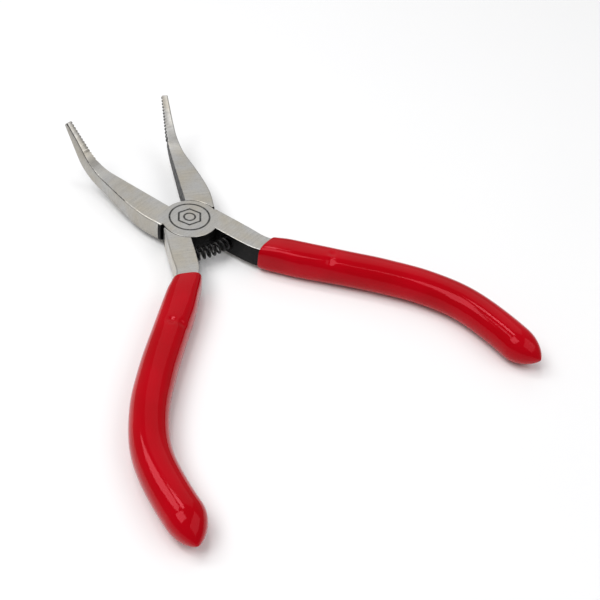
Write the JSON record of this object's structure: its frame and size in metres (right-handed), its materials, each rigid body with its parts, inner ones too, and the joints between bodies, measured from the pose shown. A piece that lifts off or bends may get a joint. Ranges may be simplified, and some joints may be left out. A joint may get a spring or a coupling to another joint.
{
  "type": "needle nose pliers",
  "caption": "Small spring-opened pliers with slim bent-up serrated jaws, a riveted lap joint and glossy red dipped grips.",
  "frame": {"origin": "on the pivot axis, at the flat underside of the head", "axes": "+Z along the pivot, towards the side the jaws bend to; +Y along the tool's centreline towards the jaws; +X to the right seen from above with the jaws away from the viewer"},
  "size_m": [0.0953, 0.1156, 0.0158],
  "materials": {
    "lever_steel": "ground and cross-brushed, black oxide on the inner faces",
    "rivet_steel": "ground flush",
    "spring_wire": "black oxide",
    "dipped_vinyl": "glossy dipped plastisol"
  },
  "bodies": {
    "lower_side": {"lower_lever": "lever_steel", "lower_lever_grip": "dipped_vinyl", "return_spring": "spring_wire"},
    "upper_side": {"upper_lever": "lever_steel", "upper_lever_grip": "dipped_vinyl", "pivot_rivet": "rivet_steel"}
  },
  "joints": [
    {"name": "pivot", "type": "hinge", "parent": "lower_side", "child": "upper_side", "pos_m": [0, 0, 0], "axis": [0, 0, 1], "range_deg": [-37.7, 7], "stiffness_Nm_per_rad": 0.3, "deforming": ["return_spring"]}
  ]
}
